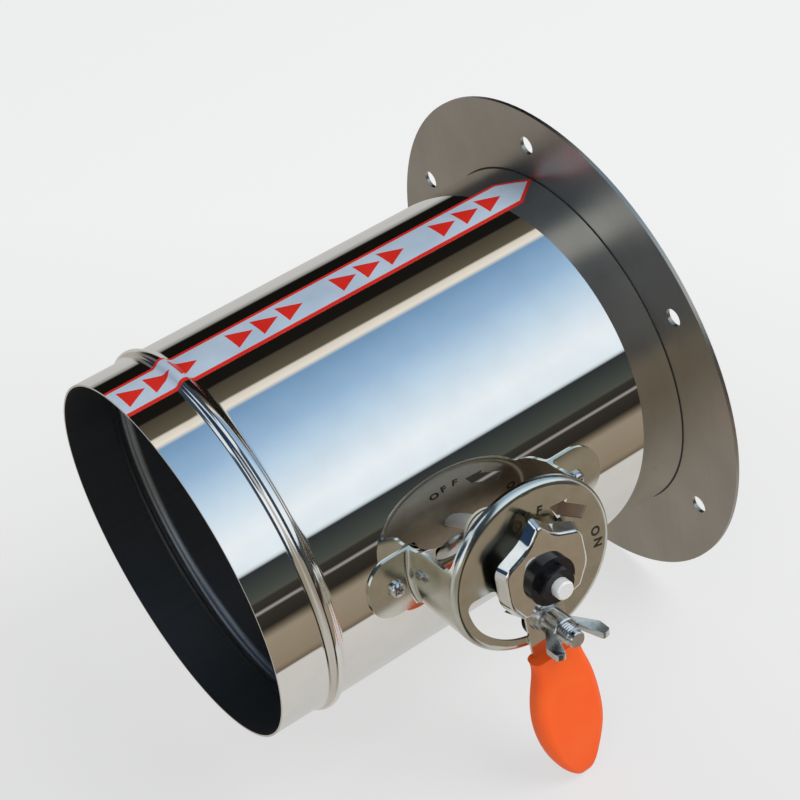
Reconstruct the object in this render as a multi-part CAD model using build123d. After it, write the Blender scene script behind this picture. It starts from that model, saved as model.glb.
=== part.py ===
from build123d import *
import math
import os

# Manual damper for a round air duct: a beaded stainless tube with a bolt-on
# flange, a round blade on a cross shaft, and a lever that turns the blade
# against a slotted dial and is locked by a wing nut.
# Millimetres. +X runs along the duct towards the flange, whose outer face is
# at X = 0. The handle faces -Y and the airflow label is on top, at +Z.

# Duct and flange
DUCT_D = 200.0
DUCT_WALL = 1.0
BODY_LENGTH = 250.0
BEAD_FROM_END = 32.0
BEAD_WIDTH = 12.0
BEAD_HEIGHT = 3.0
FLANGE_WIDTH = 40.0
FLANGE_T = 2.0
FLANGE_HOLE_D = 10.0
FLANGE_HOLES = 6

# Airflow label
LABEL_WIDTH = 26.0
LABEL_T = 0.2
LABEL_POINT = 16.0

# Shaft and its bearings
SHAFT_FROM_FLANGE = 125.0
SHAFT_D = 10.0
SHAFT_FLATS = 9.0
SHAFT_END_CHAMFER = 0.8
BUSH_D = 16.0
BUSH_FLANGE_D = 24.0
BUSH_FLANGE_T = 2.0
BUSH_INNER_LENGTH = 1.0
REAR_WASHER_D = 20.0
REAR_WASHER_T = 1.5
CLIP_T = 1.2
CLIP_D = 18.0
CLIP_MOUTH = 7.0
CLIP_GROOVE_DEPTH = 0.8
SHAFT_PAST_CLIP = 3.5

# Blade and the straps that hold it to the shaft
BLADE_GAP = 2.0
BLADE_T = 1.5
STRAP_SPACING = 110.0
STRAP_WIDTH = 16.0
STRAP_T = 2.0
STRAP_SCREW_SPACING = 26.0
STRAP_LENGTH = 40.0
M5_D = 5.0
M5_HEAD_D = 9.5
M5_HEAD_H = 3.0
M5_HEAD_R = 1.8
M5_NUT_AF = 8.0
M5_NUT_H = 4.0
M5_PAST_NUT = 1.5

# Dial bracket: a pressed dish with a rounded rim, two legs and two feet
DIAL_D = 93.0
DIAL_T = 1.5
DIAL_FACE = 38.5
DIAL_EDGE_R = 4.0
DIAL_RIM_DEPTH = 5.0
DIAL_SHAFT_GAP = 0.4
LEG_WIDTH = 40.0
LEG_CORNER_R = 5.0
NECK_TOP = 13.0
NECK_RISE = 9.0
NECK_R = 20.0
FOOT_WIDTH = 34.0
FOOT_REACH = 70.0
FOOT_CORNER_R = 15.0
FOOT_BEND_R = 2.5
FOOT_SCREW_REACH = 55.0
FOOT_SCREW_D = 4.8
FOOT_SCREW_HEAD_D = 9.0
FOOT_SCREW_HEAD_H = 3.4
FOOT_SCREW_FLANGE_T = 0.8
FOOT_SCREW_DOME_D = 8.4
FOOT_SCREW_FLAT_D = 2.6
FOOT_SCREW_LENGTH = 13.0
FOOT_SCREW_POINT = 4.0
SLOT_WIDTH = 17.0
SLOT_RADIUS = 31.0
SLOT_CORNER_R = 4.0
LEVER_TRAVEL = 80.0
ARROW_TAIL = (33.0, 13.5)
ARROW_TIP = (14.5, 28.0)
ARROW_WIDTH = 7.0
ARROW_HEAD_WIDTH = 11.5
ARROW_HEAD_LENGTH = 9.0

# Lever pressing and its grip
LEVER_T = 1.5
LEVER_FACE = 50.0
LEVER_SKIRT = 6.3
LEVER_FLARE = 4.0
LEVER_EDGE_R = 2.0
HEAD_POINTER = 32.0
HEAD_TIP_R = 2.4
HEAD_NOTCH = (7.5, 22.0)
HEAD_NOTCH_R = 18.0
HEAD_SHOULDER = (22.5, 15.5)
HEAD_SHOULDER_R = 8.0
HEAD_SIDE_END = (23.0, -4.0)
HEAD_SIDE_R = 14.0
HEAD_WAIST = (16.5, -15.5)
HEAD_CORNER_R = 3.5
HEAD_BOTTOM = 17.0
SKIRT_END = 14.0
STEM_WIDTH = 22.6
TANG_WIDTH = 16.0
TANG_CORNER_R = 5.0
TANG_END = 122.0
GRIP_START = 50.5
GRIP_END = 138.0
GRIP_MOUTH_WIDTH = 29.5
GRIP_NECK_WIDTH = 28.0
GRIP_BELLY_WIDTH = 38.5
GRIP_MOUTH_T = 10.0
GRIP_BELLY_T = 13.0
GRIP_TIP_DRIFT = 2.5
GRIP_ROUND = 0.4
GRIP_MID = 42.0

# Lever nut on the shaft
SHAFT_WASHER_D = 26.0
SHAFT_WASHER_T = 3.0
SHAFT_NUT_AF = 17.0
SHAFT_NUT_H = 5.0
SHAFT_PAST_NUT = 5.0

# Wing bolt, its washers and the wing nut
BOLT_RADIUS = 30.0
BOLT_D = 10.0
BOLT_HEAD_D = 24.0
BOLT_HEAD_H = 5.0
BOLT_NECK = 10.0
BOLT_PAST_NUT = 9.0
PLAIN_WASHER_D = 18.0
PLAIN_WASHER_T = 1.6
SPRING_WASHER_D = 16.0
SPRING_WASHER_T = 2.2
SPRING_WASHER_MOUTH = 1.6
WING_COLLAR_D = 14.0
WING_COLLAR_H = 12.0
WING_COLLAR_CHAMFER = 0.7
WING_ANGLE = -7.0
WING_SPAN = 32.0
WING_FOOT = 3.6
WING_RISE = 15.0
WING_END_WIDTH = 9.5
WING_CORNER_R = 1.8
WING_T = 3.4

# Share of its width that is turned off a hexagon's corners
HEX_CHAMFER = 0.06

# Direction of the lever's stem at rest, on the dial
REST_ANGLE = 270.0

# Clearances
SEAT_GAP = 0.05
RUNNING_GAP = 0.05
SLIDE_GAP = 0.3

# Places worked out from the sizes above. Heights are from the duct's axis.
DUCT_R = DUCT_D / 2
FLANGE_D = DUCT_D + 2 * FLANGE_WIDTH
BOLT_CIRCLE_D = DUCT_D + FLANGE_WIDTH
BLADE_D = DUCT_D - 2 * (DUCT_WALL + BLADE_GAP)
OPEN_END = -FLANGE_T - BODY_LENGTH
SHAFT_X = -FLANGE_T - SHAFT_FROM_FLANGE
SHAFT_R = SHAFT_D / 2
DIAL_R = DIAL_D / 2
DIAL_TOP = DUCT_R + DIAL_FACE
DIAL_BACK = DIAL_TOP - DIAL_T
LEVER_TOP = DUCT_R + LEVER_FACE
LEVER_UNDER = LEVER_TOP - LEVER_T
STEM_UNDER = DIAL_TOP + SLIDE_GAP
STEM_TOP = STEM_UNDER + LEVER_T
BOLT_R = BOLT_D / 2
NUT_BASE = STEM_TOP + PLAIN_WASHER_T + SPRING_WASHER_T
BOLT_END = NUT_BASE + WING_COLLAR_H + BOLT_PAST_NUT
SHAFT_NUT_BASE = LEVER_TOP + SHAFT_WASHER_T
SHAFT_END = SHAFT_NUT_BASE + SHAFT_NUT_H + SHAFT_PAST_NUT
REAR_WASHER_BASE = DUCT_R + SEAT_GAP + BUSH_FLANGE_T + SLIDE_GAP
CLIP_BASE = REAR_WASHER_BASE + REAR_WASHER_T + SLIDE_GAP
SHAFT_TAIL = CLIP_BASE + CLIP_T + SHAFT_PAST_CLIP

# Handle frame: local X along the duct, local Y up, local Z out along the shaft
HANDLE = Plane(origin=(SHAFT_X, 0, 0), x_dir=(1, 0, 0), z_dir=(0, -1, 0))
REAR = Plane(origin=(SHAFT_X, 0, 0), x_dir=(1, 0, 0), z_dir=(0, 1, 0))


def disc(diameter, base, height, bore=0.0):
    """Flat disc or ring standing on a height, round the local Z axis."""
    face = Circle(diameter / 2)
    if bore:
        face -= Circle(bore / 2)
    return Pos(0, 0, base) * extrude(face, height)


def hex_prism(across_flats, base, height, bore=0.0):
    """Hexagon prism standing on a height, with its outer corners turned off."""
    face = RegularPolygon(across_flats / 2, 6, major_radius=False)
    if bore:
        face -= Circle(bore / 2)
    prism = extrude(face, height)
    turned = extrude(Circle(across_flats / math.sqrt(3)), height)
    turned = chamfer(turned.edges(), across_flats * HEX_CHAMFER)
    return Pos(0, 0, base) * (prism & turned)


def double_d(diameter, flats):
    """Circle with two opposite flats, facing local X."""
    return Circle(diameter / 2) & Rectangle(flats, diameter)


def split_ring(diameter, bore, base, height, mouth):
    """Ring with a slot cut out of one side."""
    ring = disc(diameter, base, height, bore)
    return ring - Pos(diameter / 2, 0, base + height / 2) * Box(diameter, mouth, 2 * height)


def rounded(face, corners):
    """Round a flat face at each (x, y, radius), on both sides of its Y axis."""
    for x, y, radius in corners:
        near = [v for v in face.vertices() if math.dist((abs(v.X), v.Y), (x, y)) < SEAT_GAP]
        face = fillet(near, radius)
    return face


def tube_line(radius):
    """Duct's outline from the open end to the flange, with its rolled bead."""
    side = BEAD_WIDTH / 2
    turn = 2 * math.degrees(math.atan2(BEAD_HEIGHT, side))
    bend = side / (2 * math.sin(math.radians(turn)))
    start = OPEN_END + BEAD_FROM_END - side
    rise = JernArc((start, radius), (1, 0), bend, turn)
    crown = JernArc(rise @ 1, rise % 1, bend, -2 * turn)
    fall = JernArc(crown @ 1, crown % 1, bend, turn)
    return [Line((OPEN_END, radius), (start, radius)), rise, crown, fall, Line(fall @ 1, (0, radius))]


def tube_section(inner, outer):
    """Face between two duct outlines, in the XZ plane."""
    low, high = tube_line(inner), tube_line(outer)
    ends = [Line((OPEN_END, inner), (OPEN_END, outer)), Line((0, inner), (0, outer))]
    return Plane.XZ * make_face(Curve() + low + high + ends)


def across_wall(place, diameter):
    """Round cutter through the duct's wall on the side that a plane faces."""
    return place * Pos(0, 0, DUCT_R / 2) * extrude(Circle(diameter / 2), DUCT_R)


def duct_body():
    tube = revolve(tube_section(DUCT_R - DUCT_WALL, DUCT_R), Axis.X)
    for side in (HANDLE, REAR):
        tube -= across_wall(side, BUSH_D + 2 * SEAT_GAP)
    for reach in (-FOOT_SCREW_REACH, FOOT_SCREW_REACH):
        tube -= across_wall(HANDLE * Pos(reach, 0, 0), FOOT_SCREW_D + 2 * SEAT_GAP)
    return tube


def flange_ring():
    face = Circle(FLANGE_D / 2) - Circle(DUCT_R + SEAT_GAP)
    face -= PolarLocations(BOLT_CIRCLE_D / 2, FLANGE_HOLES, start_angle=0) * Circle(FLANGE_HOLE_D / 2)
    plane = Plane(origin=(-FLANGE_T, 0, 0), x_dir=(0, 0, 1), z_dir=(1, 0, 0))
    return plane * extrude(face, FLANGE_T)


def airflow_label():
    under = DUCT_R + SEAT_GAP
    skin = revolve(tube_section(under, under + LABEL_T), Axis.X, 90)
    skin = Rot(-45, 0, 0) * skin
    half, tip = LABEL_WIDTH / 2, -FLANGE_T - SLIDE_GAP
    neck = tip - LABEL_POINT
    outline = Polyline((OPEN_END, -half), (neck, -half), (tip, 0), (neck, half), (OPEN_END, half), close=True)
    return skin & extrude(make_face(outline), 2 * DUCT_R)


def slot_face():
    """Arc window in the dial, long enough for the bolt's whole travel."""
    inner, outer = SLOT_RADIUS - SLOT_WIDTH / 2, SLOT_RADIUS + SLOT_WIDTH / 2
    corner = BOLT_NECK / 2
    spare = math.degrees(math.atan2(corner + 2 * SLIDE_GAP, BOLT_RADIUS - corner))
    start, sweep = REST_ANGLE - LEVER_TRAVEL - spare, LEVER_TRAVEL + 2 * spare
    arcs = [CenterArc((0, 0), radius, start, sweep) for radius in (inner, outer)]
    ends = [Line(arcs[0] @ end, arcs[1] @ end) for end in (0, 1)]
    face = make_face(Curve() + arcs + ends)
    return fillet(face.vertices(), SLOT_CORNER_R)


def arrow_face():
    """Straight arrow punched through the dial between its two end marks."""
    tail, tip = Vector(*ARROW_TAIL), Vector(*ARROW_TIP)
    along = (tip - tail).normalized()
    across = Vector(-along.Y, along.X)
    neck = tip - along * ARROW_HEAD_LENGTH
    half, barb = across * (ARROW_WIDTH / 2), across * (ARROW_HEAD_WIDTH / 2)
    corners = [tail + half, neck + half, neck + barb, tip, neck - barb, neck - half, tail - half]
    return make_face(Polyline(*corners, close=True))


def foot_outline(side):
    """Plan of one foot, rounded at its far end, on the side that is asked for."""
    plan = Pos(side * FOOT_REACH / 2, 0) * Rectangle(FOOT_REACH, FOOT_WIDTH)
    far = plan.vertices().sort_by(Axis.X)[-2:] if side > 0 else plan.vertices().sort_by(Axis.X)[:2]
    return fillet(far, FOOT_CORNER_R)


def leg_window():
    """Side view of what is cut away beside both legs, from the rim down."""
    top, leg, foot = DIAL_TOP - DIAL_RIM_DEPTH, LEG_WIDTH / 2, FOOT_WIDTH / 2
    neck_top = DUCT_R + NECK_TOP
    neck = neck_top - NECK_RISE
    outline = Polyline((foot, 0), (foot, neck), (leg, neck_top), (leg, top), (DIAL_D, top), (DIAL_D, 0),
                       close=True)
    corners = [(foot, neck, NECK_R), (leg, neck_top, NECK_R), (leg, top, LEG_CORNER_R)]
    return rounded(make_face(outline), corners)


def duct_cylinder(radius):
    """Solid cylinder on the duct's axis, in the handle's frame."""
    return Rot(0, 90, 0) * Cylinder(radius, 4 * FOOT_REACH)


def dial_bracket():
    seat = DUCT_R + SEAT_GAP
    height = DIAL_TOP
    outer = extrude(Circle(DIAL_R), height)
    outer = fillet(outer.edges().sort_by(Axis.Z)[-1], DIAL_EDGE_R)
    inner = extrude(Circle(DIAL_R - DIAL_T), height - DIAL_T)
    inner = fillet(inner.edges().sort_by(Axis.Z)[-1], DIAL_EDGE_R - DIAL_T)
    cup = outer - inner
    # The wall between the legs is cut away below the rim
    side_view = Plane(origin=(-DIAL_R, 0, 0), x_dir=(0, 1, 0), z_dir=(1, 0, 0))
    cutter = side_view * extrude(leg_window(), DIAL_D)
    cup -= cutter
    cup -= Rot(0, 0, 180) * cutter
    # The feet are bent out along the duct and follow its curve
    sheet = duct_cylinder(seat + DIAL_T) - duct_cylinder(seat)
    cup -= duct_cylinder(seat)
    well = extrude(Circle(DIAL_R - DIAL_T), height - DIAL_T)
    for side in (-1, 1):
        foot = extrude(foot_outline(side), height) & sheet
        foot -= well
        cup += foot
    bends = [e for e in cup.edges() if is_foot_bend(e, seat + DIAL_T)]
    cup = fillet(bends, FOOT_BEND_R)
    cuts = [Circle(SHAFT_R + DIAL_SHAFT_GAP), slot_face(), arrow_face()]
    for cut in cuts:
        cup -= Pos(0, 0, DIAL_TOP - 2 * DIAL_T) * extrude(cut, 3 * DIAL_T)
    for side in (-1, 1):
        cup -= Pos(side * FOOT_SCREW_REACH, 0, DUCT_R / 2) * extrude(
            Circle(FOOT_SCREW_D / 2 + SEAT_GAP), DUCT_R)
    return HANDLE * cup


def is_foot_bend(edge, radius):
    """True for the inside corner between a leg's wall and its foot."""
    point = edge @ 0.5
    on_wall = abs(math.hypot(point.X, point.Y) - DIAL_R) < SEAT_GAP
    on_foot = abs(math.hypot(point.Y, point.Z) - radius) < SEAT_GAP
    return on_wall and on_foot


def foot_screws():
    seat = DUCT_R + SEAT_GAP + DIAL_T
    brim, top = seat + FOOT_SCREW_FLANGE_T, seat + FOOT_SCREW_HEAD_H
    half, dome, flat = FOOT_SCREW_HEAD_D / 2, FOOT_SCREW_DOME_D / 2, FOOT_SCREW_FLAT_D / 2
    shank, tip = FOOT_SCREW_D / 2, seat - FOOT_SCREW_LENGTH
    under = Polyline((0, top), (0, tip), (shank, tip + FOOT_SCREW_POINT), (shank, seat), (half, seat),
                     (half, brim), (dome, brim))
    crown = EllipticalCenterArc((flat, brim), dome - flat, top - brim, 0, arc_size=90)
    edge = [under, crown, Line((flat, top), (0, top))]
    screw = revolve(Plane.XZ * make_face(Curve() + edge), Axis.Z)
    places = [Pos(side * FOOT_SCREW_REACH, 0, 0) for side in (-1, 1)]
    return [HANDLE * place * screw for place in places]


def bush():
    """Flanged bush in the duct's wall, in the frame of the side that it is on."""
    seat = DUCT_R + SEAT_GAP
    bore = SHAFT_D + 2 * RUNNING_GAP
    sleeve = disc(BUSH_D, seat - DUCT_WALL - BUSH_INNER_LENGTH, DUCT_WALL + BUSH_INNER_LENGTH, bore)
    return sleeve + disc(BUSH_FLANGE_D, seat, BUSH_FLANGE_T, bore)


def shaft():
    bar = disc(SHAFT_D, -SHAFT_TAIL, SHAFT_TAIL + SHAFT_END)
    bar = chamfer(bar.edges().filter_by(GeomType.CIRCLE), SHAFT_END_CHAMFER)
    flat_length = SHAFT_END - LEVER_UNDER
    waste = extrude(Rectangle(2 * SHAFT_D, 2 * SHAFT_D) - double_d(SHAFT_D, SHAFT_FLATS), flat_length)
    bar -= Pos(0, 0, LEVER_UNDER) * waste
    groove = disc(2 * SHAFT_D, 0, CLIP_T + SLIDE_GAP, SHAFT_D - 2 * CLIP_GROOVE_DEPTH)
    bar -= Pos(0, 0, -CLIP_BASE - CLIP_T - SLIDE_GAP / 2) * groove
    return HANDLE * bar


def rear_clip():
    bore = SHAFT_D - 2 * CLIP_GROOVE_DEPTH + 2 * SEAT_GAP
    return REAR * split_ring(CLIP_D, bore, CLIP_BASE, CLIP_T, CLIP_MOUTH)


# The blade lies against the flange side of the shaft
BLADE_NEAR = SHAFT_R + SEAT_GAP
STRAP_SCREWS = [(y, z) for y in (-STRAP_SPACING / 2, STRAP_SPACING / 2)
                for z in (-STRAP_SCREW_SPACING / 2, STRAP_SCREW_SPACING / 2)]
BLADE_PLANE = Plane(origin=(SHAFT_X, 0, 0), x_dir=(0, 1, 0), z_dir=(1, 0, 0))


def blade():
    face = Circle(BLADE_D / 2)
    for y, z in STRAP_SCREWS:
        face -= Pos(y, z) * Circle(M5_D / 2 + SEAT_GAP)
    return BLADE_PLANE * Pos(0, 0, BLADE_NEAR) * extrude(face, BLADE_T)


def blade_straps():
    inner, outer = SHAFT_R + SEAT_GAP, SHAFT_R + SEAT_GAP + STRAP_T
    profile = Circle(outer) + Pos(BLADE_NEAR / 2, 0) * Rectangle(BLADE_NEAR, 2 * outer)
    profile += Pos(BLADE_NEAR - STRAP_T / 2, 0) * Rectangle(STRAP_T, STRAP_LENGTH)
    profile -= Circle(inner) + Pos(inner, 0) * Rectangle(2 * inner, 2 * inner)
    profile -= Pos(BLADE_NEAR + outer, 0) * Rectangle(2 * outer, STRAP_LENGTH)
    bent = extrude(profile, STRAP_WIDTH / 2, both=True)
    straps = []
    for y in (-STRAP_SPACING / 2, STRAP_SPACING / 2):
        plane = Plane(origin=(SHAFT_X, y, 0), x_dir=(1, 0, 0), z_dir=(0, -1, 0))
        strap = plane * bent
        for z in (-STRAP_SCREW_SPACING / 2, STRAP_SCREW_SPACING / 2):
            strap -= BLADE_PLANE * Pos(y, z, 0) * extrude(Circle(M5_D / 2 + SEAT_GAP), SHAFT_D)
        straps.append(strap)
    return straps


def strap_screws():
    top = BLADE_NEAR + BLADE_T
    length = BLADE_T + STRAP_T + M5_NUT_H + M5_PAST_NUT
    head = disc(M5_HEAD_D, top, M5_HEAD_H)
    head = fillet(head.edges().sort_by(Axis.Z)[-1], M5_HEAD_R)
    screw = head + disc(M5_D, top - length, length)
    return [BLADE_PLANE * Pos(y, z, 0) * screw for y, z in STRAP_SCREWS]


def strap_nuts():
    nut = hex_prism(M5_NUT_AF, BLADE_NEAR - STRAP_T - M5_NUT_H, M5_NUT_H, M5_D + 2 * SEAT_GAP)
    return [BLADE_PLANE * Pos(y, z, 0) * nut for y, z in STRAP_SCREWS]


def head_outline(spread):
    """Lever head in plan: a pointer over two shoulders, narrowing to the stem."""
    tip = (0, HEAD_POINTER + spread * 1.1)
    notch = (HEAD_NOTCH[0] + spread * 0.5, HEAD_NOTCH[1] + spread)
    shoulder = (HEAD_SHOULDER[0] + spread, HEAD_SHOULDER[1] + spread * 0.6)
    side = (HEAD_SIDE_END[0] + spread, HEAD_SIDE_END[1])
    waist = (HEAD_WAIST[0] + spread, HEAD_WAIST[1])
    foot = (STEM_WIDTH / 2 - LEVER_T, -HEAD_BOTTOM - spread * 0.5)
    right = [notch, shoulder, side, waist, foot]
    left = [(-x, y) for x, y in reversed(right)]
    radii = [HEAD_NOTCH_R, HEAD_SHOULDER_R, HEAD_SIDE_R, HEAD_CORNER_R, HEAD_CORNER_R]
    corners = [(x, y, radius) for (x, y), radius in zip([tip] + right, [HEAD_TIP_R] + radii)]
    return rounded(make_face(Polyline(tip, *right, *left, close=True)), corners)


def tang_outline(spread):
    """Plan of the lever's stem and of the tang inside the grip."""
    wide, narrow, end = STEM_WIDTH / 2 + spread, TANG_WIDTH / 2 + spread, TANG_END + spread
    root = HEAD_BOTTOM + LEVER_T / 2
    right = [(wide, -root), (wide, -GRIP_START), (narrow, -end)]
    left = [(-x, y) for x, y in reversed(right)]
    face = make_face(Polyline(*right, *left, close=True))
    return fillet(face.vertices().sort_by(Axis.Y)[:2], TANG_CORNER_R)


def head_block(base_spread, top_spread, top, edge_r):
    """Flared block of the lever's head, from the stem's level up to a rounded top."""
    base = Pos(0, 0, STEM_UNDER) * head_outline(base_spread)
    block = loft([base, Pos(0, 0, top) * head_outline(top_spread)])
    return fillet(block.faces().sort_by(Axis.Z)[-1].edges(), edge_r)


def lever():
    shell = head_block(LEVER_FLARE, 0, LEVER_TOP, LEVER_EDGE_R)
    hollow = head_block(LEVER_FLARE - LEVER_T, -LEVER_T, LEVER_UNDER, LEVER_EDGE_R - LEVER_T)
    tray = shell - hollow
    # Only the wall over the stem reaches down to it, the rest stops short as a skirt
    drop = LEVER_TOP - LEVER_SKIRT - STEM_UNDER
    reach = HEAD_POINTER + LEVER_FLARE + SKIRT_END
    below = Box(3 * HEAD_SIDE_END[0], reach, 2 * drop)
    tray -= Pos(0, reach / 2 - SKIRT_END, STEM_UNDER) * below
    body = tray + Pos(0, 0, STEM_UNDER) * extrude(tang_outline(0), LEVER_T)
    through = LEVER_TOP - STEM_UNDER
    shaft_hole = double_d(SHAFT_D + 2 * SEAT_GAP, SHAFT_FLATS + 2 * SEAT_GAP)
    body -= Pos(0, 0, LEVER_TOP - through / 2) * extrude(shaft_hole, through)
    neck = BOLT_NECK + 2 * SEAT_GAP
    body -= Pos(0, -BOLT_RADIUS, STEM_UNDER) * Box(neck, neck, through)
    return HANDLE * body


def grip_section(along, width, thick, drift):
    """Rounded cross-section of the grip at a distance from the shaft."""
    plane = Plane(origin=(drift, -along, DUCT_R + GRIP_MID), x_dir=(1, 0, 0), z_dir=(0, -1, 0))
    return plane * RectangleRounded(width, thick, thick * GRIP_ROUND)


def grip():
    length = GRIP_END - GRIP_START
    neck, belly = GRIP_NECK_WIDTH, GRIP_BELLY_WIDTH
    thin, thick, drift = GRIP_MOUTH_T, GRIP_BELLY_T, GRIP_TIP_DRIFT
    # Share of the length, width, thickness and sideways drift, from the mouth to the tip
    stations = [
        (0.00, GRIP_MOUTH_WIDTH, thin, 0.0),
        (0.08, neck, thin, 0.0),
        (0.28, belly * 0.92, thick * 0.95, 0.0),
        (0.50, belly, thick, 0.0),
        (0.72, belly * 0.85, thick * 0.95, drift * 0.3),
        (0.88, belly * 0.56, thick * 0.82, drift * 0.6),
        (0.98, belly * 0.24, thick * 0.5, drift),
        (1.00, belly * 0.11, thick * 0.2, drift),
    ]
    body = loft([grip_section(GRIP_START + part * length, *size) for part, *size in stations])
    body -= Pos(0, 0, STEM_UNDER - SEAT_GAP) * extrude(tang_outline(SEAT_GAP), LEVER_T + 2 * SEAT_GAP)
    return HANDLE * body


def on_bolt(shape):
    """Put a piece that is modelled round its own axis on the wing bolt's axis."""
    return HANDLE * Pos(0, -BOLT_RADIUS, 0) * shape


def wing_bolt():
    head_top = DIAL_BACK - SLIDE_GAP
    thread = disc(BOLT_D, head_top, BOLT_END - head_top)
    thread = chamfer(thread.edges().sort_by(Axis.Z)[-1], SHAFT_END_CHAMFER)
    neck_height = STEM_TOP - head_top
    neck = Pos(0, 0, head_top + neck_height / 2) * Box(BOLT_NECK, BOLT_NECK, neck_height)
    half = BOLT_HEAD_D / 2
    dome_r = (half ** 2 + BOLT_HEAD_H ** 2) / (2 * BOLT_HEAD_H)
    head = Pos(0, 0, head_top - BOLT_HEAD_H + dome_r) * Sphere(dome_r)
    head &= disc(BOLT_HEAD_D, head_top - BOLT_HEAD_H, BOLT_HEAD_H)
    return on_bolt(thread + neck + head)


def wing_nut():
    bore = BOLT_D + 2 * RUNNING_GAP
    collar = disc(WING_COLLAR_D, NUT_BASE, WING_COLLAR_H)
    collar = chamfer(collar.edges().filter_by(GeomType.CIRCLE), WING_COLLAR_CHAMFER)
    reach, top = WING_SPAN / 2, NUT_BASE + WING_COLLAR_H
    root, low, crest = WING_COLLAR_D / 2 - WING_COLLAR_CHAMFER, NUT_BASE + WING_FOOT, top + WING_RISE
    wing = make_face(Polyline(
        (0, low), (root, low), (reach, crest - WING_END_WIDTH), (reach, crest - WING_T / 2),
        (reach - WING_END_WIDTH / 2, crest), (root, top), (0, top), close=True))
    wing = fillet(wing.vertices().sort_by(Axis.X)[-3:], WING_CORNER_R)
    paddle = extrude(Plane.XZ * wing, WING_T / 2, both=True)
    nut = collar + paddle + Rot(0, 0, 180) * paddle
    nut -= disc(bore, NUT_BASE, WING_COLLAR_H + WING_RISE)
    return on_bolt(Rot(0, 0, WING_ANGLE) * nut)


def build():
    """Every node of the damper, by name."""
    bolt_hole = BOLT_D + 2 * SEAT_GAP
    shaft_hole = SHAFT_D + 2 * SEAT_GAP
    spring_bore, spring_base = BOLT_D + 2 * RUNNING_GAP, STEM_TOP + PLAIN_WASHER_T
    spring = split_ring(SPRING_WASHER_D, spring_bore, spring_base, SPRING_WASHER_T, SPRING_WASHER_MOUTH)
    return {
        "duct_body": duct_body(),
        "flange_ring": flange_ring(),
        "airflow_label": airflow_label(),
        "dial_bracket": dial_bracket(),
        "foot_screws": foot_screws(),
        "front_bush": HANDLE * bush(),
        "rear_bush": REAR * bush(),
        "shaft": shaft(),
        "rear_washer": REAR * disc(REAR_WASHER_D, REAR_WASHER_BASE, REAR_WASHER_T, shaft_hole),
        "rear_clip": rear_clip(),
        "blade": blade(),
        "blade_straps": blade_straps(),
        "strap_screws": strap_screws(),
        "strap_nuts": strap_nuts(),
        "lever": lever(),
        "grip": grip(),
        "shaft_washer": HANDLE * disc(SHAFT_WASHER_D, LEVER_TOP, SHAFT_WASHER_T, shaft_hole),
        "shaft_nut": HANDLE * hex_prism(SHAFT_NUT_AF, SHAFT_NUT_BASE, SHAFT_NUT_H, shaft_hole),
        "wing_bolt": wing_bolt(),
        "plain_washer": on_bolt(disc(PLAIN_WASHER_D, STEM_TOP, PLAIN_WASHER_T, bolt_hole)),
        "spring_washer": on_bolt(spring),
        "wing_nut": wing_nut(),
    }


os.makedirs("parts", exist_ok=True)
for name, shape in build().items():
    solid = Compound(children=shape) if isinstance(shape, list) else shape
    export_step(solid, f"parts/{name}.step")
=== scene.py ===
import math
import bmesh
import bpy
from mathutils import Matrix, Vector


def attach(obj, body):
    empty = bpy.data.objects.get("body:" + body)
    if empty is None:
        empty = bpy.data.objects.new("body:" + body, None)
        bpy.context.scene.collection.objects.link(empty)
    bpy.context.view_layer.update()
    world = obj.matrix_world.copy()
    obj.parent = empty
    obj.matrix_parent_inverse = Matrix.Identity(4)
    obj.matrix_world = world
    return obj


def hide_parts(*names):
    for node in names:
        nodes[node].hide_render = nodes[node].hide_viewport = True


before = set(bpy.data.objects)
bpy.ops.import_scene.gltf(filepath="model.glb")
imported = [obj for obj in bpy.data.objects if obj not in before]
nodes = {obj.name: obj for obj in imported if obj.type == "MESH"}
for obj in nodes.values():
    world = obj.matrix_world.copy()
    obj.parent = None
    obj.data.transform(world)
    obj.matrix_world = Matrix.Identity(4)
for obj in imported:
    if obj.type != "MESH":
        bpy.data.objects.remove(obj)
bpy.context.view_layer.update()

MM = 0.001

# Sizes that follow the part's source, in millimetres, and the number of flange holes
DUCT_R = 100.0
DUCT_WALL = 1.0
OPEN_END = -252.0
FLANGE_T = 2.0
FLANGE_HOLES = 6
FLANGE_HOLE_R = 5.0
BOLT_CIRCLE_R = 120.0
BEAD_FROM_END = 32.0
BEAD_WIDTH = 12.0
BEAD_HEIGHT = 3.0
BUSH_HOLE_R = 8.05
FOOT_SCREW_HOLE_R = 2.45
SHAFT_X = -127.0
DIAL_FACE = 138.5
DIAL_BACK = 137.0
BOLT_REACH = 30.0
BOLT_R = 5.0
BOLT_HEAD_R = 12.0
BOLT_HEAD_H = 5.0
BOLT_HEAD_TOP = 136.7
BOLT_END = 165.1
STEM_TOP = 140.3
FOOT_SCREW_REACH = 55.0
FOOT_SCREW_TOP = 105.0
STRAP_SCREW_TOP = 9.6
STRAP_SCREW_PLACES = [(y, z) for y in (-55.0, 55.0) for z in (-13.0, 13.0)]
LABEL_HALF = 13.0
LABEL_TIP = -2.3
LABEL_POINT = 16.0

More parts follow.
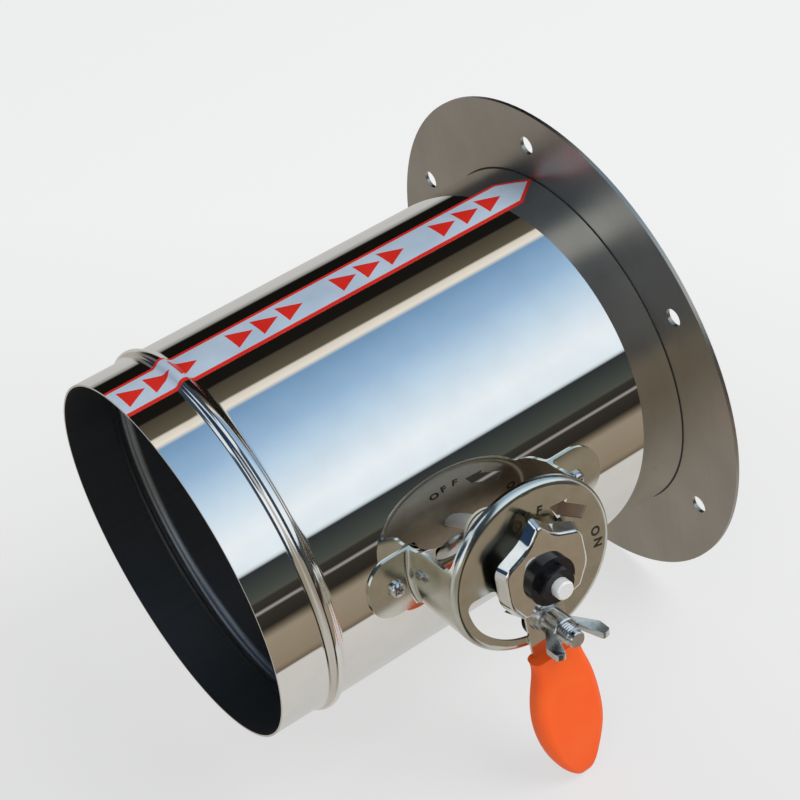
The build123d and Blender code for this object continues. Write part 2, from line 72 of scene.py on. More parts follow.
# Sizes of what is added here, in millimetres, with step counts, shares and one turn in degrees
BEAD_STEPS = 20
DUCT_STEPS = 360
DUCT_STATION = 5.0
THREAD_PITCH = 1.5
THREAD_DEPTH = 0.62
THREAD_START = STEM_TOP - 0.7
THREAD_END = BOLT_END - 1.2
RIDGE_WIDTH = 1.4
RIDGE_SINK = 0.1
CREST_LOW = 0.6
CREST_HIGH = 0.8
CREST_SHY = 0.02
BOLT_TIP_RISE = 0.6
BOLT_TIP_TAPER = 0.5
CAST_EDGE_R = 0.55
FOOT_RECESS = (4.6, 1.8)
STRAP_RECESS = (5.0, 1.8)
RECESS_TURN = 20
RECESS_SLOT_SHARE = 0.24
RECESS_TIP_SHARE = (0.45, 0.7, 1.0)
LETTER_HEIGHT = 5.0
LETTER_BOLD = 0.30
LETTER_PROUD = 0.03
FONT_SIZE_OVER_HEIGHT = 1.38
LABEL_PRINT_START = 248.0
LABEL_GROUP = 61.3
LABEL_CELL = 14.6
TRIANGLE_LENGTH = 12.4
TRIANGLE_HALF = 7.6
LABEL_BORDER = 2.2
JOINT_SHADOW_SIDE = 0.6
JOINT_SHADOW_OFF_DUCT = 0.02
JOINT_SHADOW_OFF_FLANGE = 0.01
CAP_DEPTH = 0.05
FLOOR_Z = -140.2

# Faces that meet at more than this many degrees keep a sharp edge
SHARP = 35.0

# Studio, in metres, with the camera's right and up as directions
FLOOR_HALF = 5.0
TENT_R = 2.0
TENT_LENGTH = 12.0
LAMP_AIM = Vector((-0.12, 0, 0))
CAMERA_PLACE = (-0.5041, -0.78666, 0.65078)
CAMERA_RIGHT = Vector((0.80698, -0.56001, -0.18753))
CAMERA_UP = Vector((0.46269, 0.40219, 0.79004))

# Handle frame: local X along the duct, local Y up, local Z out along the shaft
HANDLE = Matrix(((1, 0, 0, SHAFT_X), (0, 0, -1, 0), (0, 1, 0, 0), (0, 0, 0, 1)))
# Blade frame: local X along the shaft, local Y up, local Z towards the flange
BLADE = Matrix(((0, 0, 1, SHAFT_X), (1, 0, 0, 0), (0, 1, 0, 0), (0, 0, 0, 1)))


# Small helpers

def linear(code):
    """sRGB hex colour as linear RGBA."""
    parts = [int(code[i:i + 2], 16) / 255 for i in (1, 3, 5)]
    return tuple(c / 12.92 if c <= 0.04045 else ((c + 0.055) / 1.055) ** 2.4 for c in parts) + (1.0,)


def add(tree, kind, inputs=None, stops=(), **settings):
    """Add a node; an input is a value, a socket, or a node whose first output in use is meant."""
    made = tree.nodes.new(kind)
    for name, value in settings.items():
        setattr(made, name, value)
    for name, value in (inputs or {}).items():
        if isinstance(value, bpy.types.Node):
            value = next(socket for socket in value.outputs if socket.enabled)
        if isinstance(value, bpy.types.NodeSocket):
            tree.links.new(value, made.inputs[name])
        else:
            made.inputs[name].default_value = value
    for count, (place, code) in enumerate(stops):
        points = made.color_ramp.elements
        point = points[count] if count < len(points) else points.new(place)
        point.position = place
        point.color = linear(code)
    return made


def finish_named(name):
    """New material with an empty node tree."""
    material = bpy.data.materials.new(name)
    material.use_nodes = True
    material.node_tree.nodes.clear()
    return material, material.node_tree


def piece_from(name, shape, place, body, material, sharp=SHARP):
    """Turn a bmesh in millimetres into a finished piece that rides on a body."""
    bmesh.ops.transform(shape, matrix=Matrix.Scale(MM, 4) @ place, verts=shape.verts)
    limit = math.radians(sharp)
    for face in shape.faces:
        face.smooth = True
    for edge in shape.edges:
        edge.smooth = edge.calc_face_angle(0.0) < limit
    mesh = bpy.data.meshes.new(name)
    shape.to_mesh(mesh)
    shape.free()
    mesh.materials.append(material)
    piece = bpy.data.objects.new(name, mesh)
    bpy.context.collection.objects.link(piece)
    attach(piece, body)
    return piece


def copy_of(node_name):
    """Merged copy of a node's mesh, in millimetres."""
    shape = bmesh.new()
    shape.from_mesh(nodes[node_name].data)
    bmesh.ops.transform(shape, matrix=Matrix.Scale(1 / MM, 4), verts=shape.verts)
    bmesh.ops.remove_doubles(shape, verts=shape.verts, dist=0.002)
    return shape


# Materials

def duct_sheet():
    """Stainless sheet, buffed to a mirror outside and left dull from the mill inside."""
    material, tree = finish_named("duct_stainless_buffed_outside")
    place = add(tree, "ShaderNodeTexCoord").outputs["Object"]
    across = add(tree, "ShaderNodeVectorMath", {0: place, 1: (0.0, 1.0, 1.0)}, operation="MULTIPLY")
    normal = add(tree, "ShaderNodeNewGeometry").outputs["True Normal"]
    outward = add(tree, "ShaderNodeVectorMath", {0: normal, 1: across}, operation="DOT_PRODUCT")
    inside = add(tree, "ShaderNodeMath", {0: outward.outputs["Value"], 1: -0.02}, operation="LESS_THAN")
    # Rolling leaves shallow waves some 70 mm long, which bend the mirrored picture a little
    waves = add(tree, "ShaderNodeTexNoise", {"Vector": place, "Scale": 1 / (70 * MM), "Detail": 0.0})
    bend = add(tree, "ShaderNodeBump", {"Height": waves, "Strength": 0.03, "Distance": 0.3 * MM})
    # Buffing haze comes and goes over about 15 mm
    haze = add(tree, "ShaderNodeTexNoise", {"Vector": place, "Scale": 1 / (15 * MM), "Detail": 4.0})
    gloss = add(tree, "ShaderNodeMapRange", {"Value": haze, "To Min": 0.008, "To Max": 0.03})
    # Rolling takes some of the polish off the bead
    along = add(tree, "ShaderNodeSeparateXYZ", {"Vector": place}).outputs["X"]
    bead = add(tree, "ShaderNodeMath", {
        0: along, 1: (OPEN_END + BEAD_FROM_END) * MM, 2: BEAD_WIDTH / 2 * MM}, operation="COMPARE")
    rolled = add(tree, "ShaderNodeMath", {0: bead, 1: 0.09, 2: gloss}, operation="MULTIPLY_ADD")
    # Mill lines run along the sheet every half millimetre; drawn 2 mm apart so that they show
    stretched = add(tree, "ShaderNodeVectorMath", {0: place, 1: (8.0, 500.0, 500.0)}, operation="MULTIPLY")
    lines = add(tree, "ShaderNodeTexNoise", {"Vector": stretched, "Scale": 1.0, "Detail": 2.0})
    dull = add(tree, "ShaderNodeMapRange", {"Value": lines, "To Min": 0.40, "To Max": 0.46})
    bright_tone = add(tree, "ShaderNodeValToRGB", {"Fac": haze}, [(0.3, "#EFEDE9"), (0.7, "#F4F2EE")])
    mill_tone = add(tree, "ShaderNodeValToRGB", {"Fac": lines}, [(0.2, "#83878D"), (0.8, "#8A8E94")])
    tone = add(tree, "ShaderNodeMix", {"Factor": inside, "A": bright_tone, "B": mill_tone}, data_type="RGBA")
    rough = add(tree, "ShaderNodeMix", {"Factor": inside, "A": rolled, "B": dull}, data_type="FLOAT")
    steel = add(tree, "ShaderNodeBsdfPrincipled", {
        "Base Color": tone, "Metallic": 1.0, "Roughness": rough, "Normal": bend})
    add(tree, "ShaderNodeOutputMaterial", {"Surface": steel})
    return material


def bracket_sheet():
    """Pressed stainless: satin-polished outside, and dull tan-grey at the back and between the legs."""
    material, tree = finish_named("pressed_stainless_satin_polished")
    place = add(tree, "ShaderNodeTexCoord").outputs["Object"]
    normal = add(tree, "ShaderNodeNewGeometry").outputs["True Normal"]
    shaft = (SHAFT_X * MM, 0.0, 0.0)
    from_shaft = add(tree, "ShaderNodeVectorMath", {0: place, 1: shaft}, operation="SUBTRACT")
    sideways = add(tree, "ShaderNodeVectorMath", {0: from_shaft, 1: (1.0, 0.0, 1.0)}, operation="MULTIPLY")
    outward = add(tree, "ShaderNodeVectorMath", {0: sideways}, operation="NORMALIZE")
    facing = add(tree, "ShaderNodeVectorMath", {0: normal, 1: outward}, operation="DOT_PRODUCT")
    inner = add(tree, "ShaderNodeMath", {0: facing.outputs["Value"], 1: -0.3}, operation="LESS_THAN")
    turned = add(tree, "ShaderNodeSeparateXYZ", {"Vector": normal})
    back = add(tree, "ShaderNodeMath", {0: turned.outputs["Y"], 1: 0.3}, operation="GREATER_THAN")
    hidden = add(tree, "ShaderNodeMath", {0: inner, 1: back}, operation="MAXIMUM")
    # Polishing leaves faint clouds about 8 mm across
    haze = add(tree, "ShaderNodeTexNoise", {"Vector": place, "Scale": 1 / (8 * MM), "Detail": 4.0})
    gloss = add(tree, "ShaderNodeMapRange", {"Value": haze, "To Min": 0.12, "To Max": 0.21})
    dull = add(tree, "ShaderNodeMapRange", {"Value": haze, "To Min": 0.38, "To Max": 0.48})
    bright_tone = add(tree, "ShaderNodeValToRGB", {"Fac": haze}, [(0.3, "#D6D7CE"), (0.7, "#E2E3DB")])
    dull_tone = add(tree, "ShaderNodeValToRGB", {"Fac": haze}, [(0.3, "#A69D8E"), (0.7, "#B5AC9D")])
    tone = add(tree, "ShaderNodeMix", {"Factor": hidden, "A": bright_tone, "B": dull_tone}, data_type="RGBA")
    rough = add(tree, "ShaderNodeMix", {"Factor": hidden, "A": gloss, "B": dull}, data_type="FLOAT")
    steel = add(tree, "ShaderNodeBsdfPrincipled", {"Base Color": tone, "Metallic": 1.0, "Roughness": rough})
    add(tree, "ShaderNodeOutputMaterial", {"Surface": steel})
    return material


def lever_plate():
    """Pressed steel polished and nickel plated: a sharp, slightly warm mirror."""
    material, tree = finish_named("nickel_plated_pressing")
    place = add(tree, "ShaderNodeTexCoord").outputs["Object"]
    # Plating over a pressing stays uneven over about 6 mm
    haze = add(tree, "ShaderNodeTexNoise", {"Vector": place, "Scale": 1 / (6 * MM), "Detail": 4.0})
    rough = add(tree, "ShaderNodeMapRange", {"Value": haze, "To Min": 0.04, "To Max": 0.10})
    tone = add(tree, "ShaderNodeValToRGB", {"Fac": haze}, [(0.3, "#EAE7E1"), (0.7, "#F3F1EC")])
    bend = add(tree, "ShaderNodeBump", {"Height": haze, "Strength": 0.05, "Distance": 0.1 * MM})
    nickel = add(tree, "ShaderNodeBsdfPrincipled", {
        "Base Color": tone, "Metallic": 1.0, "Roughness": rough, "Normal": bend})
    add(tree, "ShaderNodeOutputMaterial", {"Surface": nickel})
    return material


def flange_plate():
    """Stainless plate, finely ground: an even tan-grey whose reflections are drawn out along the grain."""
    material, tree = finish_named("ground_stainless_plate")
    place = add(tree, "ShaderNodeTexCoord").outputs["Object"]
    # Grain lines some 0.3 mm wide and 60 mm long; drawn 0.8 mm wide so that they show
    stretched = add(tree, "ShaderNodeVectorMath", {0: place, 1: (1250.0, 1250.0, 17.0)}, operation="MULTIPLY")
    grain = add(tree, "ShaderNodeTexNoise", {"Vector": stretched, "Scale": 1.0, "Detail": 3.0})
    cloud = add(tree, "ShaderNodeTexNoise", {"Vector": place, "Scale": 1 / (40 * MM), "Detail": 2.0})
    both = add(tree, "ShaderNodeMix", {"Factor": 0.35, "A": cloud, "B": grain}, data_type="FLOAT")
    rough = add(tree, "ShaderNodeMapRange", {"Value": grain, "To Min": 0.30, "To Max": 0.38})
    tone = add(tree, "ShaderNodeValToRGB", {"Fac": both}, [(0.3, "#ABA59B"), (0.7, "#BCB6AD")])
    bump = add(tree, "ShaderNodeBump", {"Height": grain, "Strength": 0.05, "Distance": 0.03 * MM})
    steel = add(tree, "ShaderNodeBsdfPrincipled", {
        "Base Color": tone, "Metallic": 1.0, "Roughness": rough, "Normal": bump})
    add(tree, "ShaderNodeOutputMaterial", {"Surface": steel})
    return material


def zinc_plate():
    """Bright zinc plating over cast or rolled steel: silvery, with a faintly uneven shine."""
    material, tree = finish_named("bright_zinc_plate")
    place = add(tree, "ShaderNodeTexCoord").outputs["Object"]
    # Plating spangle about 2.5 mm across
    mottle = add(tree, "ShaderNodeTexNoise", {"Vector": place, "Scale": 1 / (2.5 * MM), "Detail": 5.0})
    rough = add(tree, "ShaderNodeMapRange", {"Value": mottle, "To Min": 0.14, "To Max": 0.30})
    tone = add(tree, "ShaderNodeValToRGB", {"Fac": mottle}, [(0.3, "#D3D5D6"), (0.7, "#E4E5E6")])
    bump = add(tree, "ShaderNodeBump", {"Height": mottle, "Strength": 0.12, "Distance": 0.08 * MM})
    zinc_skin = add(tree, "ShaderNodeBsdfPrincipled", {
        "Base Color": tone, "Metallic": 1.0, "Roughness": rough, "Normal": bump})
    add(tree, "ShaderNodeOutputMaterial", {"Surface": zinc_skin})
    return material


def zinc_flake():
    """Zinc flake coat on the shaft: pale, fine and half matt."""
    material, tree = finish_named("zinc_flake_coat")
    place = add(tree, "ShaderNodeTexCoord").outputs["Object"]
    # Flakes are far finer than 0.6 mm; drawn that large so that they show
    flake = add(tree, "ShaderNodeTexNoise", {"Vector": place, "Scale": 1 / (0.6 * MM), "Detail": 3.0})
    tone = add(tree, "ShaderNodeValToRGB", {"Fac": flake}, [(0.3, "#ECECEA"), (0.7, "#F6F6F4")])
    rough = add(tree, "ShaderNodeMapRange", {"Value": flake, "To Min": 0.42, "To Max": 0.56})
    coat = add(tree, "ShaderNodeBsdfPrincipled", {"Base Color": tone, "Metallic": 0.35, "Roughness": rough})
    add(tree, "ShaderNodeOutputMaterial", {"Surface": coat})
    return material


def black_oxide():
    """Black oxide on steel: near black, with an oily gloss."""
    material, tree = finish_named("black_oxide_steel")
    place = add(tree, "ShaderNodeTexCoord").outputs["Object"]
    # The oil film is uneven over about 4 mm
    patch = add(tree, "ShaderNodeTexNoise", {"Vector": place, "Scale": 1 / (4 * MM), "Detail": 4.0})
    tone = add(tree, "ShaderNodeValToRGB", {"Fac": patch}, [(0.35, "#0D0D0F"), (0.7, "#1A1A1D")])
    rough = add(tree, "ShaderNodeMapRange", {"Value": patch, "To Min": 0.14, "To Max": 0.26})
    steel = add(tree, "ShaderNodeBsdfPrincipled", {"Base Color": tone, "Roughness": rough})
    add(tree, "ShaderNodeOutputMaterial", {"Surface": steel})
    return material


def orange_vinyl():
    """Dipped soft vinyl: an even strong orange with a slight orange-peel skin."""
    material, tree = finish_named("dipped_orange_vinyl")
    place = add(tree, "ShaderNodeTexCoord").outputs["Object"]
    skin = add(tree, "ShaderNodeTexNoise", {"Vector": place, "Scale": 1 / (1.5 * MM), "Detail": 3.0})
    cloud = add(tree, "ShaderNodeTexNoise", {"Vector": place, "Scale": 1 / (25 * MM), "Detail": 2.0})
    tone = add(tree, "ShaderNodeValToRGB", {"Fac": cloud}, [(0.3, "#FC5A14"), (0.7, "#FF651C")])
    rough = add(tree, "ShaderNodeMapRange", {"Value": skin, "To Min": 0.42, "To Max": 0.54})
    bump = add(tree, "ShaderNodeBump", {"Height": skin, "Strength": 0.08, "Distance": 0.1 * MM})
    vinyl = add(tree, "ShaderNodeBsdfPrincipled", {
        "Base Color": tone, "Roughness": rough, "Normal": bump, "Specular IOR Level": 0.3})
    add(tree, "ShaderNodeOutputMaterial", {"Surface": vinyl})
    return material


def natural_nylon():
    """Moulded natural nylon: a waxy off-white."""
    material, tree = finish_named("moulded_natural_nylon")
    place = add(tree, "ShaderNodeTexCoord").outputs["Object"]
    # Flow marks of the moulding, about 6 mm across
    cloud = add(tree, "ShaderNodeTexNoise", {"Vector": place, "Scale": 1 / (6 * MM), "Detail": 2.0})
    tone = add(tree, "ShaderNodeValToRGB", {"Fac": cloud}, [(0.3, "#DEDACB"), (0.7, "#E8E5D9")])
    rough = add(tree, "ShaderNodeMapRange", {"Value": cloud, "To Min": 0.40, "To Max": 0.50})
    nylon_skin = add(tree, "ShaderNodeBsdfPrincipled", {"Base Color": tone, "Roughness": rough})
    add(tree, "ShaderNodeOutputMaterial", {"Surface": nylon_skin})
    return material


def punched_wall_and_shade():
    """What shows in a letter punched through the sheet, a dark brown-grey: the cut walls, and painted shade
    where the hole goes through.
    """
    material, tree = finish_named("punched_letter_wall_and_shade")
    place = add(tree, "ShaderNodeTexCoord").outputs["Object"]
    # Torn edges of the cut, about 0.8 mm long
    burr = add(tree, "ShaderNodeTexNoise", {"Vector": place, "Scale": 1 / (0.8 * MM), "Detail": 3.0})
    tone = add(tree, "ShaderNodeValToRGB", {"Fac": burr}, [(0.3, "#1D1812"), (0.7, "#352C22")])
    rough = add(tree, "ShaderNodeMapRange", {"Value": burr, "To Min": 0.50, "To Max": 0.65})
    wall_and_shade = add(tree, "ShaderNodeBsdfPrincipled", {"Base Color": tone, "Roughness": rough})
    add(tree, "ShaderNodeOutputMaterial", {"Surface": wall_and_shade})
    return material


def painted_joint_shadow():
    """Painted shadow of the open joint between the duct and the flange, drawn as a thin fillet: dark grey and
    half matt.
    """
    material, tree = finish_named("painted_joint_shadow_dark_grey")
    place = add(tree, "ShaderNodeTexCoord").outputs["Object"]
    # Tone and roughness vary in ripples about 3 mm long
    ripple = add(tree, "ShaderNodeTexNoise", {"Vector": place, "Scale": 1 / (3 * MM), "Detail": 2.0})
    tone = add(tree, "ShaderNodeValToRGB", {"Fac": ripple}, [(0.3, "#0F0F10"), (0.7, "#1C1B1A")])
    rough = add(tree, "ShaderNodeMapRange", {"Value": ripple, "To Min": 0.45, "To Max": 0.60})
    joint_shade = add(tree, "ShaderNodeBsdfPrincipled", {"Base Color": tone, "Roughness": rough})
    add(tree, "ShaderNodeOutputMaterial", {"Surface": joint_shade})
    return material


def label_film():
    """Silver polyester film printed in red: a border and groups of three triangles along the air's way."""
    material, tree = finish_named("printed_silver_film")
    place = add(tree, "ShaderNodeTexCoord").outputs["Object"]
    parts = add(tree, "ShaderNodeSeparateXYZ", {"Vector": place})
    along = parts.outputs["X"]
    aside = add(tree, "ShaderNodeMath", {0: parts.outputs["Y"]}, operation="ABSOLUTE")
    # A group is three triangles in cells of one length, and then a plain stretch up to the next group
    from_end = add(tree, "ShaderNodeMath", {0: along, 1: LABEL_PRINT_START * MM}, operation="ADD")
    in_group = add(tree, "ShaderNodeMath", {0: from_end, 1: LABEL_GROUP * MM}, operation="FLOORED_MODULO")
    in_cell = add(tree, "ShaderNodeMath", {0: in_group, 1: LABEL_CELL * MM}, operation="FLOORED_MODULO")
    to_tip = add(tree, "ShaderNodeMath", {0: TRIANGLE_LENGTH * MM, 1: in_cell}, operation="SUBTRACT")
    slope = TRIANGLE_HALF / TRIANGLE_LENGTH
    half = add(tree, "ShaderNodeMath", {0: to_tip, 1: slope}, operation="MULTIPLY")
    within = add(tree, "ShaderNodeMath", {0: aside, 1: half}, operation="LESS_THAN")
    grouped = add(tree, "ShaderNodeMath", {0: in_group, 1: 3 * LABEL_CELL * MM}, operation="LESS_THAN")
    triangle = add(tree, "ShaderNodeMath", {0: within, 1: grouped}, operation="MULTIPLY")
    # The border follows the pointed end, a little narrower across it than along the sides
    to_point = add(tree, "ShaderNodeMath", {0: LABEL_TIP * MM, 1: along}, operation="SUBTRACT")
    taper = add(tree, "ShaderNodeMath", {0: to_point, 1: LABEL_HALF / LABEL_POINT}, operation="MULTIPLY")
    edge = add(tree, "ShaderNodeMath", {0: taper, 1: LABEL_HALF * MM}, operation="MINIMUM")
    inner_edge = add(tree, "ShaderNodeMath", {0: edge, 1: LABEL_BORDER * MM}, operation="SUBTRACT")
    border = add(tree, "ShaderNodeMath", {0: aside, 1: inner_edge}, operation="GREATER_THAN")
    ink = add(tree, "ShaderNodeMath", {0: triangle, 1: border}, operation="MAXIMUM")
    cloud = add(tree, "ShaderNodeTexNoise", {"Vector": place, "Scale": 1 / (30 * MM), "Detail": 2.0})
    silver = add(tree, "ShaderNodeValToRGB", {"Fac": cloud}, [(0.3, "#A3B6C9"), (0.7, "#B8C8D8")])
    red = add(tree, "ShaderNodeValToRGB", {"Fac": cloud}, [(0.3, "#C81F14"), (0.7, "#D62A1C")])
    tone = add(tree, "ShaderNodeMix", {"Factor": ink, "A": silver, "B": red}, data_type="RGBA")
    rough = add(tree, "ShaderNodeMapRange", {"Value": cloud, "To Min": 0.24, "To Max": 0.34})
    film = add(tree, "ShaderNodeBsdfPrincipled", {"Base Color": tone, "Roughness": rough})
    add(tree, "ShaderNodeOutputMaterial", {"Surface": film})
    return material


plate = flange_plate()
zinc = zinc_plate()
black = black_oxide()
nylon = natural_nylon()
letter_wall_and_shade = punched_wall_and_shade()

FINISHES = {
    "duct_body": duct_sheet(), "flange_ring": plate, "airflow_label": label_film(),
    "dial_bracket": bracket_sheet(), "foot_screws": zinc, "front_bush": nylon, "rear_bush": nylon,
    "shaft": zinc_flake(), "rear_washer": zinc, "rear_clip": black, "blade": plate, "blade_straps": plate,
    "strap_screws": zinc, "strap_nuts": zinc, "lever": lever_plate(), "grip": orange_vinyl(),
    "shaft_washer": black, "shaft_nut": black, "wing_bolt": zinc, "plain_washer": zinc,
    "spring_washer": zinc, "wing_nut": zinc,
}
for node_name, finish in FINISHES.items():
    mesh = nodes[node_name].data
    mesh.materials.clear()
    mesh.materials.append(finish)


# Pieces that the solids leave plain

def lathe(shape, outline, steps=48):
    """Spin an outline of (radius, height) points round local Z and close it."""
    points = [shape.verts.new((radius, 0, height)) for radius, height in outline]
    edges = [shape.edges.new(pair) for pair in zip(points, points[1:])]
    bmesh.ops.spin(shape, geom=points + edges, cent=(0, 0, 0), axis=(0, 0, 1), dvec=(0, 0, 0),
                   angle=2 * math.pi, steps=steps, use_merge=True, use_duplicate=False)
    bmesh.ops.remove_doubles(shape, verts=shape.verts, dist=0.001)


def threaded_bolt():
    """Carriage bolt with a domed head, a square neck and a rolled thread."""
    shape = bmesh.new()
    dome = (BOLT_HEAD_R ** 2 + BOLT_HEAD_H ** 2) / (2 * BOLT_HEAD_H)
    low = BOLT_HEAD_TOP - BOLT_HEAD_H
    outline = [(0.0, low)]
    for step in range(1, 9):
        radius = BOLT_HEAD_R * step / 8
        outline.append((radius, low + dome - math.sqrt(dome ** 2 - radius ** 2)))
    root = BOLT_R - THREAD_DEPTH
    outline += [(root, BOLT_HEAD_TOP), (root, BOLT_END - BOLT_TIP_RISE)]
    outline += [(root - BOLT_TIP_TAPER, BOLT_END), (0.0, BOLT_END)]
    lathe(shape, outline)
    neck = STEM_TOP - BOLT_HEAD_TOP
    centre = Matrix.Translation((0, 0, BOLT_HEAD_TOP + neck / 2))
    square = Matrix.Diagonal((2 * BOLT_R, 2 * BOLT_R, neck, 1))
    bmesh.ops.create_cube(shape, size=1.0, matrix=centre @ square)
    # The thread is one ridge carried up a helix, closed at both ends
    steps_a_turn = 40
    turns = int((THREAD_END - STEM_TOP) / THREAD_PITCH)
    low_reach = root - RIDGE_SINK
    crest = BOLT_R - CREST_SHY
    ridge = [(low_reach, 0.0), (crest, CREST_LOW), (crest, CREST_HIGH), (low_reach, RIDGE_WIDTH)]
    points = [shape.verts.new((radius, 0, THREAD_START + height)) for radius, height in ridge]
    edges = [shape.edges.new(pair) for pair in zip(points, points[1:] + points[:1])]
    plain = set(shape.verts) - set(points)
    bmesh.ops.spin(shape, geom=points + edges, cent=(0, 0, 0), axis=(0, 0, 1),
                   dvec=(0, 0, THREAD_PITCH / steps_a_turn), angle=2 * math.pi * turns,
                   steps=steps_a_turn * turns, use_merge=False, use_duplicate=False)
    # It runs out into the root over its last turn, counted from the middle of the ridge
    thread = set(shape.verts) - plain
    crest_end = max(vert.co.z for vert in thread) - CREST_HIGH
    for vert in thread:
        reach = math.hypot(vert.co.x, vert.co.y)
        left = max(0.0, min(1.0, (crest_end - vert.co.z) / THREAD_PITCH))
        vert.co.xy *= (low_reach + (reach - low_reach) * left) / reach
    bmesh.ops.holes_fill(shape, edges=[edge for edge in shape.edges if edge.is_boundary], sides=4)
    bmesh.ops.recalc_face_normals(shape, faces=shape.faces)
    place = HANDLE @ Matrix.Translation((0, -BOLT_REACH, 0))
    piece = piece_from("threaded_bolt", shape, place, "damper", zinc)
    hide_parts("wing_bolt")


def cast_wing_nut():
    """The wing nut with the rounded edges and fillets that a casting has."""
    shape = copy_of("wing_nut")
    bmesh.ops.dissolve_limit(shape, angle_limit=math.radians(1.0), verts=shape.verts, edges=shape.edges)
    corners = [edge for edge in shape.edges if edge.calc_face_angle(0.0) > math.radians(40)]
    bmesh.ops.bevel(shape, geom=corners, offset=CAST_EDGE_R, offset_type="OFFSET", affect="EDGES", segments=3,
                    profile=0.5, material=-1, clamp_overlap=True)
    bmesh.ops.remove_doubles(shape, verts=shape.verts, dist=0.002)
    piece = piece_from("cast_wing_nut", shape, Matrix(), "lock_nut", zinc, 50.0)
    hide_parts("wing_nut")


def cut_out(piece, tool, crossing=False):
    """Cut a tool's shape, a bmesh in metres, out of a piece; the tool's parts may cross."""
    cutter_mesh = bpy.data.meshes.new(piece.name + "_tool")
    bmesh.ops.recalc_face_normals(tool, faces=tool.faces)
    tool.to_mesh(cutter_mesh)
    tool.free()
    cutter = bpy.data.objects.new(piece.name + "_tool", cutter_mesh)
    bpy.context.collection.objects.link(cutter)
    cut = piece.modifiers.new("cut", "BOOLEAN")
    cut.operation = "DIFFERENCE"
    cut.solver = "EXACT"
    cut.use_self = crossing
    cut.object = cutter
    left = bpy.data.meshes.new_from_object(piece.evaluated_get(bpy.context.evaluated_depsgraph_get()))
    piece.modifiers.clear()
    bpy.data.objects.remove(cutter)
    shape = bmesh.new()
    shape.from_mesh(left)
    for edge in shape.edges:
        edge.smooth = edge.calc_face_angle(0.0) < math.radians(SHARP)
    shape.to_mesh(piece.data)
    shape.free()
    bpy.data.meshes.remove(left)


def crossed_screws(name, node_name, body, places, recess):
    """Screws with a cross recess sunk into each head; a place has its origin on the head's top."""
    width, depth = recess
    tool = bmesh.new()
    for place in places:
        for turn in (0, 90):
            slot = Matrix.Diagonal((width, width * RECESS_SLOT_SHARE, 2 * depth, 1))
            blade = bmesh.ops.create_cube(tool, size=1.0, matrix=slot)
            tips = [vert for vert in blade["verts"] if vert.co.z < 0]
            bmesh.ops.scale(tool, vec=RECESS_TIP_SHARE, verts=tips)
            turned = place @ Matrix.Rotation(math.radians(turn + RECESS_TURN), 4, "Z")
            bmesh.ops.transform(tool, matrix=Matrix.Scale(MM, 4) @ turned, verts=blade["verts"])
    piece = piece_from(name, copy_of(node_name), Matrix(), body, zinc)
    cut_out(piece, tool, crossing=True)
    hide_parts(node_name)


def run_on(shape, tip, step):
    """Carry a line straight on from its tip."""
    end = bmesh.ops.extrude_vert_indiv(shape, verts=[tip])["verts"][0]
    end.co += Vector(step)
    return end


def bend_on(shape, tip, centre, angle, steps):
    """Carry a line on from its tip along an arc in the XZ plane."""
    made = bmesh.ops.spin(shape, geom=[tip], cent=centre, axis=(0, 1, 0), dvec=(0, 0, 0), angle=angle,
                          steps=steps, use_merge=False, use_duplicate=False)
    return next(item for item in made["geom_last"] if isinstance(item, bmesh.types.BMVert))


def rolled_duct():
    """Duct sheet as rolled: even strips all round, so that the bead mirrors without a break."""
    shape = bmesh.new()
    half = BEAD_WIDTH / 2
    turn = 2 * math.atan2(BEAD_HEIGHT, half)
    bend = half / (2 * math.sin(turn))
    middle = OPEN_END + BEAD_FROM_END
    tip = shape.verts.new((OPEN_END, 0, DUCT_R))
    tip = run_on(shape, tip, (BEAD_FROM_END - half, 0, 0))
    tip = bend_on(shape, tip, (middle - half, 0, DUCT_R + bend), -turn, BEAD_STEPS)
    tip = bend_on(shape, tip, (middle, 0, DUCT_R + BEAD_HEIGHT - bend), 2 * turn, 2 * BEAD_STEPS)
    tip = bend_on(shape, tip, (middle + half, 0, DUCT_R + bend), -turn, BEAD_STEPS)
    tip = run_on(shape, tip, (-middle - half, 0, 0))
    # Short stations keep the mirror even round the holes
    long_runs = sorted(shape.edges, key=lambda edge: -edge.calc_length())[:2]
    for run in long_runs:
        bmesh.ops.subdivide_edges(shape, edges=[run], cuts=int(run.calc_length() / DUCT_STATION))
    bmesh.ops.spin(shape, geom=list(shape.verts) + list(shape.edges), cent=(0, 0, 0), axis=(1, 0, 0),
                   dvec=(0, 0, 0), angle=2 * math.pi, steps=DUCT_STEPS, use_merge=True, use_duplicate=False)
    bmesh.ops.remove_doubles(shape, verts=shape.verts, dist=0.001)
    bmesh.ops.recalc_face_normals(shape, faces=shape.faces)
    skin = next(iter(shape.faces))
    if skin.normal.dot(Vector((0, *skin.calc_center_median().yz))) < 0:
        bmesh.ops.reverse_faces(shape, faces=shape.faces)
    bmesh.ops.solidify(shape, geom=shape.faces, thickness=DUCT_WALL)
    piece = piece_from("rolled_duct", shape, Matrix(), "housing", FINISHES["duct_body"])
    tool = bmesh.new()
    front, rear = DUCT_R, -DUCT_R
    holes = [(0, front, BUSH_HOLE_R), (0, rear, BUSH_HOLE_R),
             (-FOOT_SCREW_REACH, front, FOOT_SCREW_HOLE_R), (FOOT_SCREW_REACH, front, FOOT_SCREW_HOLE_R)]
    for along, out, radius in holes:
        place = Matrix.Scale(MM, 4) @ HANDLE @ Matrix.Translation((along, 0, out))
        bmesh.ops.create_cone(tool, cap_ends=True, segments=48, radius1=radius, radius2=radius, depth=DUCT_R,
                              matrix=place)
    cut_out(piece, tool)
    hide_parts("duct_body")


